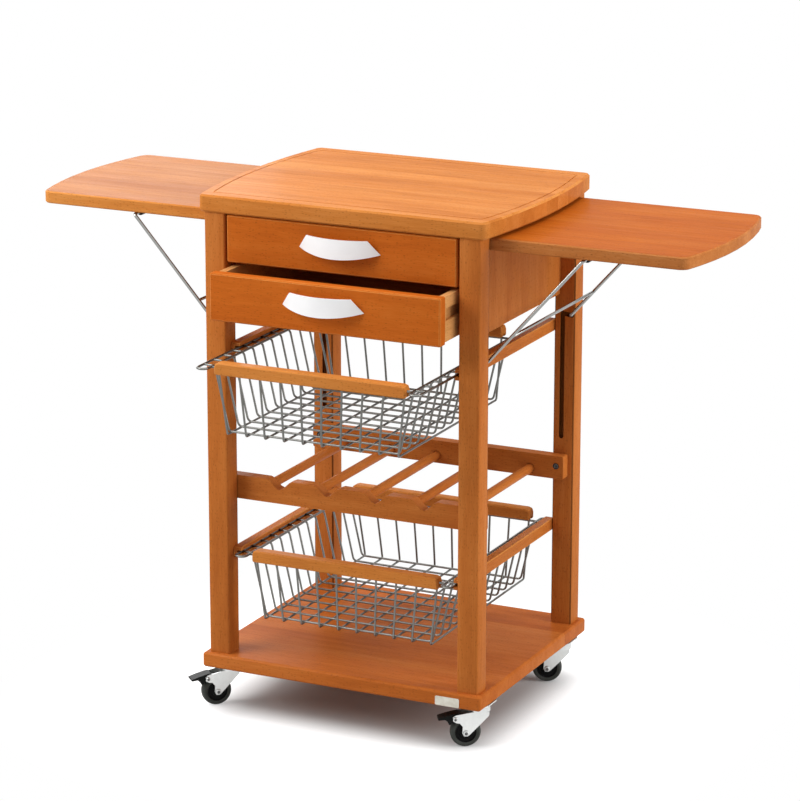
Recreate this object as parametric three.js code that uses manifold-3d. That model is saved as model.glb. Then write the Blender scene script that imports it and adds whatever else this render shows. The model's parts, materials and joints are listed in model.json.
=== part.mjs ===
// Drop leaf kitchen island on casters: millimetres, +X right, +Y back, +Z up, floor at z = 0.
import * as THREE from "three";
import { mergeVertices } from "three/addons/utils/BufferGeometryUtils.js";
import Module from "manifold-3d";

const wasm = await Module();
wasm.setup();

// ---------------------------------------------------------------- driving sizes
const clearance = 0.3; // seated pieces and running fits
const wheelRadius = 25;
const wheelWidth = 18;
const casterHeight = 75;
const casterTrail = 23.4;
const casterInsetX = 22.8; // swivel axis in from the ends of the base board
const casterInsetY = 50.6; // and from its front and rear edges
const casterHeading = { front_left: 225, front_right: 211, rear_left: 207, rear_right: 203 }; // degrees

const baseLength = 500;
const baseDepth = 435;
const baseThickness = 25;

const legSection = 36;
const legOuterX = 240.6;
const legOuterY = 208;
const legLength = 739;

const topHalfLength = 248.5;
const topBulge = 18;
const topHalfDepth = 213;
const topThickness = 28;
const topInlayEnd = 13.5;
const topInlayFront = 24;

const leafThickness = 20;
const leafDrop = 4; // leaf surface below the underside of the top board
const leafReach = 561;
const leafBulge = 22;
const leafTail = 9; // from the pivot to the inner end
const leafGap = 3; // between the leaf's edges and the legs
const leafPinRadius = 3;
const leafPinInLeaf = 20;
const leafPinInLeg = 15;

const stayRadius = 2.75;
const stayBarX = 392;
const stayBarDrop = 3.5; // rod centre below the leaf
const stayStrutY = 166;
const stayTipX = 235;
const stayTipDrop = 204; // tips below the top board
const stayBraceAt = 61; // from the tip, along the strut
const clipLength = 13;
const clipNose = 6.6; // its length at the lowest point
const clipWall = 2.5; // under the bar
const clipWidth = 12;
const clipY = 142;

const grooveX = 219.5;
const grooveWidth = 8;
const grooveDepth = 7;
const grooveLength = 210;
const grooveRise = 2; // top of the groove above the tip in its hook

const panelThickness = 12;
const sidePanelOuterX = 214.6;
const caseHeight = 169.5;
const backPanelY = 190;

const drawerFrontWidth = 401;
const drawerFrontThickness = 20;
const drawerHeight = 77;
const drawerDrop = { upper: 79, lower: 161 }; // bottom of the fronts below the top board
const drawerPull = { upper: 0, lower: 59 };
const drawerDepth = 340;
const drawerBoxOuterX = 197.5;
const drawerBoard = 12;
const drawerFloor = 6;
const drawerFloorLift = 8;
const drawerSideInset = 2.5; // box sides lower than the front, above and below
const runnerHeight = 18;
const runnerLift = 37;
const runnerSeat = 6.5; // depth of the runner groove in the drawer sides

const handleLength = 146;
const handleTopLength = 110;
const handleTipDrop = 22.4;
const handleHeight = 31.7;
const handleBulge = 24;
const handleSheet = 2.5;
const handlePostX = 32;
const handlePostRadius = 5;
const handleTopLift = { upper: 60.6, lower: 62.5 }; // its top edge above the bottom of the front

const railHeight = 20;
const railThickness = 15.4;
const railFrontY = -190;
const railLength = 372;
const railTopZ = { upper: 625.5, lower: 281.5 };
const railGrooveDepth = 9;

const wire = 3.6; // side of the square that stands for a 4 mm round wire
const rimWire = 4.1; // the side loops and the two ties are a little stouter than the rest
const tieWire = 3.9;
const basketBarLength = 332;
const basketBarSection = 20;
const basketLength = 407;
const basketTipAhead = 9; // rim loop in front of the front bar's face
const basketRearBarAt = 376; // rear bar centre behind the front bar's face
const basketRimOuterX = 193.5;
const basketRimInnerX = 175;
const basketDepth = 106;
const basketBottomHalf = 149;
const basketBottomFront = 13;
const basketBottomRear = 384.5;
const basketSplay = 1.08; // front wires: spread at the top over spread at the bottom
const basketCrossWires = 12;
const basketLongWires = 10;
const basketHomeY = -199.5;
const basketPull = { upper: 121, lower: 0 };

const rackRailThickness = 20;
const rackRailHeight = 39.5;
const rackRailBottomZ = 358;
const rackRailHalf = 232;
const rackSpacing = 86;
const rackNotchWidth = 48;
const rackNotchDepth = 16.5;
const rackDowelRadius = 7.75;
const rackDowelZ = 371;
const rackDowelSeat = 10;
const rackBoltX = 219;
const rackBoltZ = 380;
const rackBoltRadius = 4.2;

const forkPlate = 2;
const forkCrownZ = 57;
const forkCrown = 3;
const forkHalfLength = 14; // of the crown, fore and aft of the swivel axis
const raceRadius = 17;
const raceTopZ = 68;
const platePad = 44;
const plateThickness = 2.5;
const kingpinRadius = 4;
const axleRadius = 3;
const axleBoss = 6;
const brakeAhead = 17.4; // brake pin in front of the axle
const brakeLift = 24; // and above it
const brakePinRadius = 1.8;
const tyreInnerRadius = 22.5;
const hubRimRadius = 17;
const hubCoreRadius = 9;
const hubDish = 3;

// ---------------------------------------------------------------- sizes that follow
const baseBottomZ = casterHeight;
const legBottomZ = baseBottomZ + baseThickness;
const topBottomZ = legBottomZ + legLength;
const legInnerX = legOuterX - legSection;
const legInnerY = legOuterY - legSection;
const leafTopZ = topBottomZ - leafDrop;
const pivotX = legOuterX - leafThickness / 2;
const pivotZ = leafTopZ - leafThickness / 2;
const leafHalfDepth = legInnerY - leafGap;
const stayBarZ = leafTopZ - leafThickness - stayBarDrop;
const stayTipZ = topBottomZ - stayTipDrop;
const grooveTopZ = stayTipZ + grooveRise;
const grooveBottomZ = grooveTopZ - grooveLength;
const caseBottomZ = topBottomZ - caseHeight;
const drawerBottomZ = { upper: topBottomZ - drawerDrop.upper, lower: topBottomZ - drawerDrop.lower };
const sidePanelInnerX = sidePanelOuterX - panelThickness;
const railInnerX = legInnerX - railThickness;
const casterPivotX = baseLength / 2 - casterInsetX;
const casterPivotY = baseDepth / 2 - casterInsetY;
const forkInner = wheelWidth / 2 + 1.5;
const brakePivot = { s: casterTrail + brakeAhead, z: wheelRadius + brakeLift };

// ---------------------------------------------------------------- materials
const paint = (color, roughness, metalness) =>
  new THREE.MeshStandardMaterial({ color, roughness, metalness });
const beech = () => paint(0xb8682c, 0.38, 0);
const drawerBirch = () => paint(0xc99a63, 0.5, 0);
const satin = () => paint(0xc9cbcc, 0.32, 1);
const brightRod = () => paint(0xd2d4d6, 0.18, 1);
const greyWire = () => paint(0x9a9c98, 0.42, 1);
const zinc = () => paint(0xc4c8c8, 0.35, 1);
const rubber = () => paint(0x3c3e3c, 0.7, 0);
const black = () => paint(0x121212, 0.45, 0);

// ---------------------------------------------------------------- solids
function solid(geometry) {
  const g = geometry.index ? geometry.toNonIndexed() : geometry.clone();
  g.deleteAttribute("normal");
  g.deleteAttribute("uv");
  const merged = mergeVertices(g, 1e-4);
  return new wasm.Manifold(
    new wasm.Mesh({
      numProp: 3,
      vertProperties: new Float32Array(merged.attributes.position.array),
      triVerts: new Uint32Array(merged.index.array),
    }),
  );
}

function geometryOf(body) {
  const m = body.getMesh();
  const g = new THREE.BufferGeometry();
  g.setAttribute("position", new THREE.Float32BufferAttribute(m.vertProperties, 3));
  g.setIndex(Array.from(m.triVerts));
  g.computeVertexNormals();
  return g;
}

const join = (...bodies) => bodies.reduce((a, b) => a.add(b));
const cut = (body, ...tools) => tools.reduce((a, b) => a.subtract(b), body);

// A box by its limits on each axis.
function block(x0, x1, y0, y1, z0, z1) {
  const g = new THREE.BoxGeometry(x1 - x0, y1 - y0, z1 - z0);
  g.translate((x0 + x1) / 2, (y0 + y1) / 2, (z0 + z1) / 2);
  return solid(g);
}

// Extrudes a shape drawn in two axes along the third. "z": shape is (x, y); "y": shape is (x, z);
// "x": shape is (y, z). The extrusion runs from `from` to `to`; `ease` chamfers its two end edges.
function extrude(shape, axis, from, to, ease = 0, curveSegments = 8) {
  const g = new THREE.ExtrudeGeometry(shape, {
    depth: to - from - 2 * ease,
    bevelEnabled: ease > 0,
    bevelThickness: ease,
    bevelSize: ease,
    bevelOffset: -ease,
    bevelSegments: 1,
    curveSegments,
  });
  g.translate(0, 0, from + ease);
  if (axis === "y") g.applyMatrix4(new THREE.Matrix4().set(1, 0, 0, 0, 0, 0, 1, 0, 0, 1, 0, 0, 0, 0, 0, 1));
  if (axis === "x") g.applyMatrix4(new THREE.Matrix4().set(0, 0, 1, 0, 1, 0, 0, 0, 0, 1, 0, 0, 0, 0, 0, 1));
  const body = () => solid(g);
  if (axis !== "y") return body();
  flip(g); // (x, z) along y is a left-handed frame
  return body();
}

function flip(g) {
  const p = g.index ? g.index.array : null;
  if (p) {
    for (let i = 0; i < p.length; i += 3) [p[i], p[i + 1]] = [p[i + 1], p[i]];
    return;
  }
  const a = g.attributes.position;
  for (let i = 0; i < a.count; i += 3)
    for (const c of ["X", "Y", "Z"]) {
      const v = a["get" + c](i);
      a["set" + c](i, a["get" + c](i + 1));
      a["set" + c](i + 1, v);
    }
}

function roundedRect(x0, x1, y0, y1, r) {
  const s = new THREE.Shape();
  s.moveTo(x0 + r, y0);
  s.lineTo(x1 - r, y0);
  s.absarc(x1 - r, y0 + r, r, -Math.PI / 2, 0);
  s.lineTo(x1, y1 - r);
  s.absarc(x1 - r, y1 - r, r, 0, Math.PI / 2);
  s.lineTo(x0 + r, y1);
  s.absarc(x0 + r, y1 - r, r, Math.PI / 2, Math.PI);
  s.lineTo(x0, y0 + r);
  s.absarc(x0 + r, y0 + r, r, Math.PI, 1.5 * Math.PI);
  return s;
}

// A shape from points, each with a corner radius of its own (0 keeps the corner).
function polygon(points) {
  const s = new THREE.Shape();
  points.forEach(([x, y, r = 0], i) => {
    const p = new THREE.Vector2(x, y);
    if (!r) return i ? s.lineTo(x, y) : s.moveTo(x, y);
    const before = points.at(i - 1);
    const after = points[(i + 1) % points.length];
    const a = new THREE.Vector2(before[0], before[1]).sub(p).setLength(r).add(p);
    const b = new THREE.Vector2(after[0], after[1]).sub(p).setLength(r).add(p);
    if (i) s.lineTo(a.x, a.y);
    else s.moveTo(a.x, a.y);
    s.quadraticCurveTo(x, y, b.x, b.y);
  });
  s.closePath();
  return s;
}

function disc(radius, cx = 0, cy = 0) {
  return new THREE.Shape().absarc(cx, cy, radius, 0, 2 * Math.PI);
}

// A slot's outline: a line with round ends.
function capsule(x0, y0, x1, y1, r) {
  const a = Math.atan2(y1 - y0, x1 - x0);
  const s = new THREE.Shape();
  s.absarc(x1, y1, r, a - Math.PI / 2, a + Math.PI / 2);
  s.absarc(x0, y0, r, a + Math.PI / 2, a + 1.5 * Math.PI);
  return s;
}

// A cylinder along an axis between two coordinates of it, at (u, v) on the other two.
function rod(axis, from, to, u, v, radius, segments = 12) {
  const g = new THREE.CylinderGeometry(radius, radius, to - from, segments);
  g.rotateY(Math.PI / segments);
  if (axis === "x") g.rotateZ(Math.PI / 2).translate((from + to) / 2, u, v);
  if (axis === "y") g.translate(u, (from + to) / 2, v);
  if (axis === "z") g.rotateX(Math.PI / 2).translate(u, v, (from + to) / 2);
  return solid(g);
}

// The tool for a running hole round a pin: its flats clear the pin all the way round.
function bore(axis, from, to, u, v, pinRadius, segments = 12) {
  const radius = (pinRadius + clearance) / Math.cos(Math.PI / segments);
  return rod(axis, from, to, u, v, radius, segments);
}

// The centre line of a bent wire: straight runs with each corner turned on a radius.
class BentWire extends THREE.Curve {
  constructor(corners, radius, turns) {
    super();
    const v = corners.map((c) => new THREE.Vector3(...c));
    this.line = [v[0]];
    for (let i = 1; i < v.length - 1; i++) {
      const a = v[i - 1].clone().sub(v[i]).setLength(radius).add(v[i]);
      const b = v[i + 1].clone().sub(v[i]).setLength(radius).add(v[i]);
      const bend = new THREE.QuadraticBezierCurve3(a, v[i], b);
      this.line.push(...bend.getPoints(turns));
    }
    this.line.push(v.at(-1));
  }
  getPoint(t, target = new THREE.Vector3()) {
    const s = t * (this.line.length - 1);
    const i = Math.min(Math.floor(s), this.line.length - 2);
    return target.lerpVectors(this.line[i], this.line[i + 1], s - i);
  }
  getPointAt(u, target) {
    return this.getPoint(u, target);
  }
  getTangentAt(u, target = new THREE.Vector3()) {
    const i = Math.round(u * (this.line.length - 1));
    const here = this.line[i];
    const back = i ? here.clone().sub(this.line[i - 1]).normalize() : null;
    const on = i < this.line.length - 1 ? this.line[i + 1].clone().sub(here).normalize() : null;
    return target.copy(back && on ? back.add(on) : back || on).normalize();
  }
}

// A wire with a regular section: sides, and half its width across flats for an even count.
function bentWire(corners, bendRadius, turns, half, sides) {
  const path = new BentWire(corners, bendRadius, turns);
  const r = half / Math.cos(Math.PI / sides);
  const section = new THREE.Shape();
  for (let i = 0; i < sides; i++) {
    const a = ((i + 0.5) * 2 * Math.PI) / sides;
    if (i) section.lineTo(r * Math.cos(a), r * Math.sin(a));
    else section.moveTo(r * Math.cos(a), r * Math.sin(a));
  }
  section.closePath();
  return solid(
    new THREE.ExtrudeGeometry(section, {
      steps: path.line.length - 1,
      extrudePath: path,
      bevelEnabled: false,
    }),
  );
}

const mirrored = (body, sx, sy = 1) => body.scale([sx, sy, 1]);

// ---------------------------------------------------------------- assembly
const island = new THREE.Group();

function place(name, body, material, parent = island) {
  const mesh = new THREE.Mesh(geometryOf(body), material);
  mesh.name = name;
  parent.add(mesh);
  return mesh;
}

const sides = [["left", -1], ["right", 1]];
const ends = [["front", -1], ["rear", 1]];

// ---------------------------------------------------------------- boards and legs
const eased = (x0, x1, y0, y1, z0, z1, r, ease) =>
  extrude(roundedRect(x0, x1, y0, y1, r), "z", z0, z1, ease, 2);

place(
  "base_board",
  eased(-baseLength / 2, baseLength / 2, -baseDepth / 2, baseDepth / 2, baseBottomZ, legBottomZ, 5, 3),
  beech(),
);

// Straight front and rear edges, and ends that bow outwards.
function bowedOutline(xEnd, bulge, halfDepth, r) {
  const bow = (y) => xEnd + bulge * (1 - (y / halfDepth) ** 2);
  const steps = [-0.75, -0.5, -0.25, 0, 0.25, 0.5, 0.75];
  return [
    [xEnd, -halfDepth, r],
    ...steps.map((t) => [bow(t * halfDepth), t * halfDepth]),
    [xEnd, halfDepth, r],
  ];
}

function topOutline(inEnd, inFront, r) {
  const right = bowedOutline(topHalfLength - inEnd, topBulge, topHalfDepth - inFront, r);
  const left = right.map(([x, y, c]) => [-x, -y, c]);
  return polygon([...right, ...left]);
}

{
  const board = extrude(topOutline(0, 0, 8), "z", topBottomZ, topBottomZ + topThickness, 3, 3);
  const lineWidth = 2;
  const lineDepth = 1;
  const z = topBottomZ + topThickness;
  const inlay = cut(
    extrude(topOutline(topInlayEnd, topInlayFront, 6), "z", z - lineDepth, z + lineDepth, 0, 2),
    extrude(
      topOutline(topInlayEnd + lineWidth, topInlayFront + lineWidth, 5),
      "z", z - 2 * lineDepth, z + 2 * lineDepth, 0, 2,
    ),
  );
  place("top_board", cut(board, inlay), beech());
}

// The leg at right rear, with the groove that the stay's tip follows and the pin's hole.
function legBody(sx, sy) {
  const leg = eased(legInnerX, legOuterX, legInnerY, legOuterY, legBottomZ, topBottomZ, 3, 0);
  const y0 = legInnerY - 1;
  const y1 = legInnerY + grooveDepth;
  const r = grooveWidth / 2;
  const groove = extrude(capsule(grooveX, grooveBottomZ, grooveX, grooveTopZ, r), "y", y0, y1, 0, 3);
  const hook = extrude(capsule(grooveX, grooveTopZ, stayTipX, stayTipZ, r), "y", y0, y1, 0, 3);
  const pinSeat = bore("y", y0, legInnerY + leafPinInLeg + clearance, pivotX, pivotZ, leafPinRadius);
  return mirrored(cut(leg, groove, hook, pinSeat), sx, sy);
}
for (const [end, sy] of ends)
  for (const [side, sx] of sides) place(`leg_${end}_${side}`, legBody(sx, sy), beech());

// ---------------------------------------------------------------- drawer case
function drawerLevels() {
  return Object.keys(drawerBottomZ).map((k) => drawerBottomZ[k] + runnerLift);
}
for (const [side, sx] of sides) {
  const panel = block(sidePanelInnerX, sidePanelOuterX, -legInnerY, legInnerY, caseBottomZ, topBottomZ);
  const tongue = drawerBoxOuterX - runnerSeat + clearance;
  const runners = drawerLevels().map((z) =>
    block(tongue, sidePanelInnerX, -legInnerY + 4, legInnerY - 4, z, z + runnerHeight),
  );
  place(`side_panel_${side}`, mirrored(join(panel, ...runners), sx), beech());
}
place(
  "back_panel",
  block(-legInnerX, legInnerX, backPanelY, backPanelY + panelThickness, caseBottomZ, topBottomZ),
  beech(),
);

// ---------------------------------------------------------------- drawers
function handleBody(faceY, topZ) {
  const half = handleLength / 2;
  const arcRadius = (half ** 2 + handleBulge ** 2) / (2 * handleBulge);
  const angle = Math.asin(half / arcRadius);
  const centreY = faceY - handleBulge + arcRadius;
  const innerRadius = arcRadius - handleSheet;
  const strip = new THREE.Shape();
  strip.absarc(0, centreY, arcRadius, -Math.PI / 2 - angle, -Math.PI / 2 + angle);
  strip.absarc(0, centreY, innerRadius, -Math.PI / 2 + angle, -Math.PI / 2 - angle, true);
  strip.closePath();
  const bow = extrude(strip, "z", topZ - handleHeight - 1, topZ + 1, 0, 10);
  const low = handleHeight - handleTipDrop;
  const lowRadius = (half ** 2 + low ** 2) / (2 * low);
  const lowAngle = Math.asin(half / lowRadius);
  const face = new THREE.Shape();
  face.moveTo(-half, topZ - handleTipDrop);
  face.absarc(
    0, topZ - handleHeight + lowRadius, lowRadius,
    -Math.PI / 2 - lowAngle, -Math.PI / 2 + lowAngle,
  );
  face.lineTo(handleTopLength / 2, topZ);
  face.lineTo(-handleTopLength / 2, topZ);
  face.closePath();
  const outline = extrude(face, "y", faceY - handleBulge - 2, faceY, 0, 10);
  const shell = bow.intersect(outline);
  const posts = [-handlePostX, handlePostX].map((x) => {
    const reach = Math.sqrt(innerRadius ** 2 - x ** 2);
    return rod("y", centreY - reach - 1, faceY, x, topZ - handleTipDrop, handlePostRadius, 10);
  });
  const hollow = extrude(disc(innerRadius + handleSheet / 2, 0, centreY), "z", topZ - handleHeight, topZ, 0, 24);
  return join(shell, ...posts.map((p) => p.intersect(hollow)));
}

for (const level of ["upper", "lower"]) {
  const drawer = new THREE.Group();
  island.add(drawer);
  drawer.position.y = -drawerPull[level];
  const z0 = drawerBottomZ[level];
  const z1 = z0 + drawerHeight;
  const faceY = -legOuterY;
  const boxY0 = faceY + drawerFrontThickness;
  const boxY1 = boxY0 + drawerDepth;
  const boxZ0 = z0 + drawerSideInset;
  const boxZ1 = z1 - drawerSideInset;
  const innerX = drawerBoxOuterX - drawerBoard;
  const half = drawerFrontWidth / 2;
  const front = extrude(roundedRect(-half, half, z0, z1, 2.5), "y", faceY, boxY0, 2, 2);
  place(`${level}_drawer_front`, front, beech(), drawer);
  for (const [side, sx] of sides) {
    const board = block(innerX, drawerBoxOuterX, boxY0, boxY1, boxZ0, boxZ1);
    const seat = z0 + runnerLift;
    const groove = block(
      drawerBoxOuterX - runnerSeat, drawerBoxOuterX + 1, boxY0 + runnerSeat, boxY1 + 1,
      seat - 1, seat + runnerHeight + clearance,
    );
    place(`${level}_drawer_side_${side}`, mirrored(cut(board, groove), sx), drawerBirch(), drawer);
  }
  place(
    `${level}_drawer_back`,
    block(-innerX, innerX, boxY1 - drawerBoard, boxY1, boxZ0, boxZ1),
    drawerBirch(), drawer,
  );
  place(
    `${level}_drawer_bottom`,
    block(-innerX, innerX, boxY0, boxY1 - drawerBoard, boxZ0 + drawerFloorLift, boxZ0 + drawerFloorLift + drawerFloor),
    drawerBirch(), drawer,
  );
  place(`${level}_drawer_handle`, handleBody(faceY, z0 + handleTopLift[level]), satin(), drawer);
}

// ---------------------------------------------------------------- leaves and their stays
function leafBody() {
  const inner = pivotX - leafTail;
  const end = bowedOutline(leafReach, leafBulge, leafHalfDepth, 10);
  const z0 = leafTopZ - leafThickness;
  const board = extrude(
    polygon([...end, [inner, leafHalfDepth, 4], [inner, -leafHalfDepth, 4]]),
    "z", z0, leafTopZ, 2, 2,
  );
  const pinHoles = [-1, 1].map((s) => {
    const y = [s * (leafHalfDepth + 1), s * (leafHalfDepth - leafPinInLeaf)].sort((a, b) => a - b);
    return bore("y", y[0], y[1], pivotX, pivotZ, leafPinRadius);
  });
  const clips = [-1, 1].map((s) => {
    const lowest = stayBarZ - stayRadius - clipWall;
    const clip = polygon([
      [stayBarX - clipLength / 2, z0 + 1],
      [stayBarX - clipLength / 2, z0 - 2, 2],
      [stayBarX - clipNose / 2, lowest, 2],
      [stayBarX + clipNose / 2, lowest, 2],
      [stayBarX + clipLength / 2, z0 - 2, 2],
      [stayBarX + clipLength / 2, z0 + 1],
    ]);
    return extrude(clip, "y", s * clipY - clipWidth / 2, s * clipY + clipWidth / 2, 0, 2);
  });
  const barHole = bore("y", -clipY - clipWidth, clipY + clipWidth, stayBarX, stayBarZ, stayRadius);
  const clipped = clips.map((c) => cut(c, barHole));
  return cut(join(board, ...clipped), ...pinHoles);
}

function stayBody() {
  const tipY = legInnerY - clearance - 0.1;
  const bail = bentWire(
    [
      [stayTipX, -tipY, stayTipZ],
      [stayTipX, -stayStrutY, stayTipZ],
      [stayBarX, -stayStrutY, stayBarZ],
      [stayBarX, stayStrutY, stayBarZ],
      [stayTipX, stayStrutY, stayTipZ],
      [stayTipX, tipY, stayTipZ],
    ],
    5, 3, stayRadius * Math.cos(Math.PI / 8), 8,
  );
  const length = Math.hypot(stayBarX - stayTipX, stayBarZ - stayTipZ);
  const x = stayTipX + ((stayBarX - stayTipX) * stayBraceAt) / length;
  const z = stayTipZ + ((stayBarZ - stayTipZ) * stayBraceAt) / length;
  const brace = rod("y", -stayStrutY, stayStrutY, x, z, stayRadius * 0.9, 8);
  return join(bail, brace);
}

for (const [side, sx] of sides) {
  place(`leaf_${side}`, mirrored(leafBody(), sx), beech());
  place(`leaf_stay_${side}`, mirrored(stayBody(), sx), brightRod());
  for (const [end, sy] of ends) {
    const pin = rod(
      "y", leafHalfDepth - leafPinInLeaf + clearance, legInnerY + leafPinInLeg, pivotX, pivotZ, leafPinRadius,
    );
    place(`leaf_pin_${end}_${side}`, mirrored(pin, sx, sy), zinc());
  }
}

// ---------------------------------------------------------------- basket rails and baskets
for (const level of ["upper", "lower"]) {
  const z1 = railTopZ[level];
  const z0 = z1 - railHeight;
  const zRim = (z0 + z1) / 2;
  const y0 = railFrontY;
  const y1 = y0 + railLength;
  const outline = polygon([[y0, z0, 5], [y1, z0, 2], [y1, z1, 2], [y0, z1, 8]]);
  for (const [side, sx] of sides) {
    const rail = extrude(outline, "x", railInnerX, legInnerX, 1, 2);
    const groove = block(
      railInnerX - 1, railInnerX + railGrooveDepth, y0 - 1, y1 + 1,
      zRim - rimWire / 2 - clearance, zRim + rimWire / 2 + 4 * clearance,
    );
    place(`${level}_basket_rail_${side}`, mirrored(cut(rail, groove), sx), beech());
  }

  const basket = new THREE.Group();
  island.add(basket);
  basket.position.set(0, basketHomeY - basketPull[level], zRim);
  const half = wire / 2;
  const rimHalf = rimWire / 2;
  const tieHalf = tieWire / 2;
  const frontBarY = basketBarSection / 2;
  const rearZ = tieHalf + clearance;
  const bend = 7;

  // Side loops that run in the rails' grooves.
  const loopCorner = (basketRimOuterX - basketRimInnerX) / 2;
  const rims = sides.map(([, sx]) => {
    const ring = (grow) =>
      roundedRect(
        basketRimInnerX - grow, basketRimOuterX + grow,
        -basketTipAhead - grow, basketLength - basketTipAhead + grow, loopCorner + grow,
      );
    const loop = cut(
      extrude(ring(rimHalf), "z", -rimHalf, rimHalf, 0, 2),
      extrude(ring(-rimHalf), "z", -wire, wire, 0, 2),
    );
    return mirrored(loop, sx);
  });
  // Cross wires: from the outer rim over the inner one, down, across the floor and up again.
  const floorZ = -basketDepth + half;
  const crossWires = Array.from({ length: basketCrossWires }, (_, i) => {
    const first = basketBottomFront + 1.5 * wire;
    const last = basketBottomRear - 3.5 * wire;
    const y = first + ((last - first) * i) / (basketCrossWires - 1);
    const linked = i % 3 === 1; // the others stop at the inner rim
    const arm = [
      [linked ? basketRimOuterX : basketRimInnerX + half / 2, y, 0],
      [basketRimInnerX - half, y, 0],
      [basketBottomHalf, y, floorZ],
    ];
    const other = arm.map(([x, yy, z]) => [-x, yy, z]).reverse();
    return bentWire([...arm, ...other], bend, 1, half, 4);
  });
  // Long wires: out of the front bar, down, along the floor under the cross wires, up to the rear bar.
  const longZ = floorZ - wire - 0.1;
  const longWires = Array.from({ length: basketLongWires }, (_, i) => {
    const x = -basketBottomHalf + (2 * basketBottomHalf * i) / (basketLongWires - 1);
    const outermost = i === 0 || i === basketLongWires - 1;
    const top = outermost ? Math.sign(x) * (basketBarLength / 2 - 5) : x * basketSplay;
    return bentWire(
      [
        [top, frontBarY, 0],
        [top, frontBarY, -basketBarSection / 2 - 2],
        [x, basketBottomFront, longZ],
        [x, basketBottomRear, longZ],
        [top, basketRearBarAt, -2],
        [top, basketRearBarAt, rearZ + 6 - clearance],
      ],
      3, 1, half, 4,
    );
  });
  const ties = [frontBarY, basketRearBarAt].map((y) =>
    block(-basketRimInnerX, basketRimInnerX, y - tieHalf, y + tieHalf, -tieHalf, tieHalf),
  );
  place(`${level}_basket_wires`, join(...rims, ...crossWires, ...longWires, ...ties), greyWire(), basket);

  // Rounded bars with a kerf underneath that takes the wires.
  const bar = (yc, zc, kerf) => {
    const s = basketBarSection / 2;
    const l = basketBarLength / 2;
    const body = extrude(
      polygon([[-l, zc - s, 3], [l, zc - s, 3], [l, zc + s, 8], [-l, zc + s, 8]]),
      "y", yc - s, yc + s, 2, 2,
    );
    return cut(
      body,
      block(-l - 1, l + 1, yc - tieHalf - clearance, yc + tieHalf + clearance, zc - s - 1, zc - s + kerf),
    );
  };
  const s = basketBarSection / 2;
  place(`${level}_basket_front_bar`, bar(frontBarY, 0, s + tieHalf + clearance), beech(), basket);
  place(`${level}_basket_rear_bar`, bar(basketRearBarAt, rearZ + s, 6), beech(), basket);
}

// ---------------------------------------------------------------- bottle rack
const dowelXs = [-2, -1, 0, 1, 2].map((i) => i * rackSpacing);
const dowelHole = (y0, y1, x) => bore("y", y0, y1, x, rackDowelZ, rackDowelRadius);

// A socket-headed bolt sunk in a counterbore: the ring round its head and its hexagon are cut away.
function boltRecess(x, faceY, inward) {
  const span = (depth) => [faceY - inward, faceY + inward * depth].sort((a, b) => a - b);
  const ring = cut(
    rod("y", ...span(3.5), x, rackBoltZ, rackBoltRadius + 1.3, 8),
    rod("y", ...span(5), x, rackBoltZ, rackBoltRadius, 8),
  );
  return join(ring, rod("y", ...span(3), x, rackBoltZ, rackBoltRadius * 0.5, 6));
}

function rackRail(y0, inward, notched) {
  const z0 = rackRailBottomZ;
  const z1 = z0 + rackRailHeight;
  const outline = [[-rackRailHalf, z0, 3], [rackRailHalf, z0, 3], [rackRailHalf, z1, 3]];
  if (notched)
    for (const i of [1.5, 0.5, -0.5, -1.5]) {
      const steps = 8;
      for (let k = 0; k <= steps; k++) {
        const t = 1 - (2 * k) / steps;
        const dip = (rackNotchDepth * (1 + Math.cos(Math.PI * t))) / 2;
        outline.push([i * rackSpacing + (t * rackNotchWidth) / 2, z1 - dip]);
      }
    }
  outline.push([-rackRailHalf, z1, 3]);
  const y1 = y0 + rackRailThickness;
  const rail = extrude(polygon(outline), "y", y0, y1, 0, 2);
  const faceY = inward > 0 ? y0 : y1;
  const seats = dowelXs.map((x) => {
    const y = [faceY - inward, faceY + inward * (rackDowelSeat + clearance)].sort((a, b) => a - b);
    return dowelHole(y[0], y[1], x);
  });
  const bolts = [-rackBoltX, rackBoltX].map((x) => boltRecess(x, faceY, inward));
  return cut(rail, ...seats, ...bolts);
}
place("rack_rail_front", rackRail(-legInnerY, -1, true), beech());
place("rack_rail_rear", rackRail(legInnerY - rackRailThickness, 1, false), beech());
dowelXs.forEach((x, i) => {
  const reach = legInnerY - rackRailThickness + rackDowelSeat;
  place(`rack_dowel_${i + 1}`, rod("y", -reach, reach, x, rackDowelZ, rackDowelRadius, 12), beech());
});

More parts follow.
